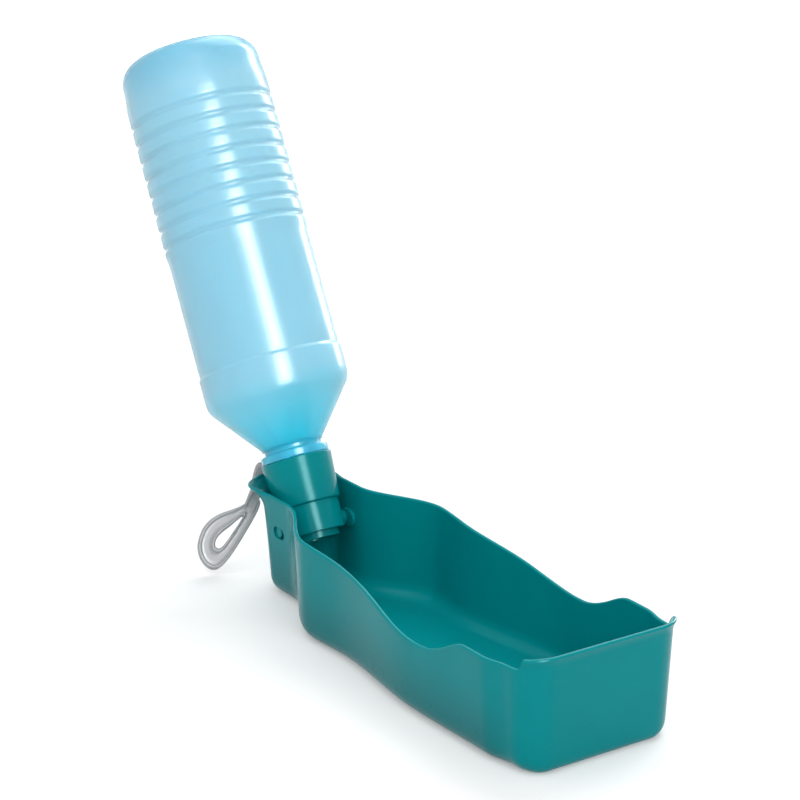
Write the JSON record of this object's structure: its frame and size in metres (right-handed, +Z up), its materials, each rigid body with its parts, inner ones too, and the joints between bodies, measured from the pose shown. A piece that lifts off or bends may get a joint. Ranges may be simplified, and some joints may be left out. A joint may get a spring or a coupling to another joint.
{
  "type": "dog travel water bottle",
  "caption": "Squeeze water bottle screwed into a hinged cap that pivots in a long drinking trough for dogs, with a soft wrist strap round the neck.",
  "frame": {"origin": "centre of the trough's flat underside, on the surface it stands on", "axes": "+X along the trough to its drinking end, +Z up, +Y across; the pivot axis runs along Y at X -100 mm, Z 32.7 mm"},
  "size_m": [0.3472, 0.0852, 0.2448],
  "materials": {
    "teal_plastic": "satin moulded, opaque teal",
    "blue_translucent": "blown, smooth, translucent light blue",
    "white_silicone": "matte, soft",
    "grey_soft_plastic": "soft, slightly translucent grey"
  },
  "bodies": {
    "tray": {"trough": "teal_plastic"},
    "cap": {"hinge_cap": "teal_plastic", "seal_washer": "white_silicone", "slit_valve": "white_silicone", "valve_keeper": "teal_plastic"},
    "strap": {"wrist_strap": "grey_soft_plastic"},
    "bottle_body": {"bottle": "blue_translucent"}
  },
  "joints": [
    {"name": "cap_tilt", "type": "hinge", "parent": "tray", "child": "cap", "pos_m": [-0.1, 0, 0.0327], "axis": [0, 1, 0], "range_deg": [0, 104]},
    {"name": "strap_lift", "type": "slide", "parent": "cap", "child": "strap", "axis": [-0.4695, 0, 0.8829], "range_m": [0, 0.0046]},
    {"name": "bottle_turn", "type": "hinge", "parent": "strap", "child": "bottle_body", "pos_m": [-0.1, 0, 0.0327], "axis": [-0.4695, 0, 0.8829], "range_deg": [0, 540]}
  ],
  "couplings": [
    {"joint": "strap_lift", "follows": "bottle_turn", "m_per_rad": 0.00047746}
  ]
}
